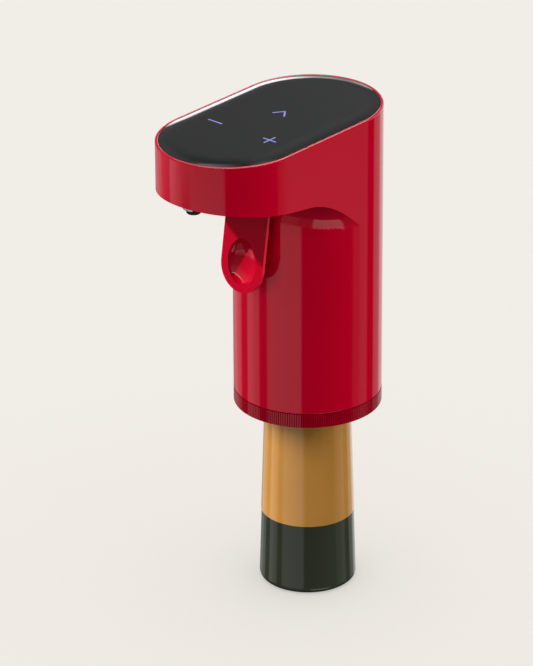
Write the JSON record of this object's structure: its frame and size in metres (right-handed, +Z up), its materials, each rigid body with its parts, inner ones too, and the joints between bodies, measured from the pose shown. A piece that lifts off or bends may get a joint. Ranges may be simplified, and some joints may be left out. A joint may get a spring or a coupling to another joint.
{
  "type": "wine preservation dispenser",
  "caption": "Battery wine dispenser with an overhanging touch-panel head, press lever, small steel spout and ribbed twist ring, standing on a bottle-neck stand.",
  "frame": {"origin": "centre of the neck's flat foot, on the floor, on the axis of the neck and column", "axes": "+Z up along the column's axis; the spout and lever face -Y; +X to the right of someone looking along +Y"},
  "size_m": [0.05, 0.086, 0.1743],
  "materials": {
    "red_gloss": "high gloss red lacquer on moulded ABS",
    "black_glass": "polished black printed glass",
    "black_foam": "matte closed-cell foam",
    "circuit_board": "green solder mask",
    "led_white": "milky LED lens",
    "frame_black": "moulded black nylon",
    "screw_steel": "zinc plated steel",
    "cell_wrap": "blue shrink-wrapped cell, density near a real cell's mean",
    "nickel": "nickel strip",
    "motor_can": "plated can, density near a real motor's mean",
    "pump_white": "natural nylon",
    "silicone_clear": "translucent silicone",
    "silicone_black": "black silicone",
    "polished_steel": "polished stainless steel",
    "ring_red": "ribbed red moulding",
    "gold_sleeve": "satin gold foil sleeve",
    "green_neck": "dark green bottle glass"
  },
  "bodies": {
    "stand": {"neck": "green_neck", "capsule": "gold_sleeve"},
    "lever": {"lever": "red_gloss", "lever_spring": "screw_steel"},
    "switch_plunger": {"switch_plunger": "silicone_black"},
    "twist_ring": {"twist_ring": "ring_red"},
    "pump_rotor": {"pump_rotor": "screw_steel"},
    "head": {"housing": "red_gloss", "touch_glass": "black_glass", "glass_gasket": "black_foam", "light_mask": "black_foam", "touch_board": "circuit_board", "touch_leds": "led_white", "board_connector": "frame_black", "chassis": "frame_black", "chassis_screws": "screw_steel", "battery_cell": "cell_wrap", "battery_tabs": "nickel", "control_board": "circuit_board", "board_screws": "screw_steel", "charge_board": "circuit_board", "charge_port": "polished_steel", "pump_motor": "motor_can", "motor_screws": "screw_steel", "pump_body": "pump_white", "pump_diaphragm": "silicone_black", "pump_cover": "pump_white", "check_valve": "pump_white", "air_tube": "silicone_clear", "wine_tube": "silicone_clear", "spout_nozzle": "polished_steel", "spout_tip": "silicone_black", "lever_pin": "screw_steel", "micro_switch": "frame_black", "stopper": "silicone_black", "stopper_core": "pump_white", "core_nut": "frame_black", "dip_tube": "silicone_clear", "collar": "frame_black", "collar_screws": "screw_steel", "grip_sleeve": "silicone_black"}
  },
  "joints": [
    {"name": "head_lift", "type": "slide", "parent": "stand", "child": "head", "axis": [0, 0, 1], "range_m": [0, 0.08]},
    {"name": "lever_press", "type": "hinge", "parent": "head", "child": "lever", "pos_m": [0, -0.0268, 0.157], "axis": [1, 0, 0], "range_deg": [0, 3.5], "stiffness_Nm_per_rad": 0.4, "springref_deg": -2.86},
    {"name": "plunger_push", "type": "slide", "parent": "head", "child": "switch_plunger", "axis": [0, -1, 0], "range_m": [0, 0.0004]},
    {"name": "ring_twist", "type": "hinge", "parent": "head", "child": "twist_ring", "pos_m": [0, 0, 0.067], "axis": [0, 0, 1], "range_deg": [0, 60]},
    {"name": "pump_spin", "type": "hinge", "parent": "head", "child": "pump_rotor", "pos_m": [0, -0.0105, 0.13], "axis": [0, 0, 1], "continuous": true}
  ],
  "couplings": [
    {"joint": "plunger_push", "follows": "lever_press", "m_per_rad": 0.0065}
  ]
}
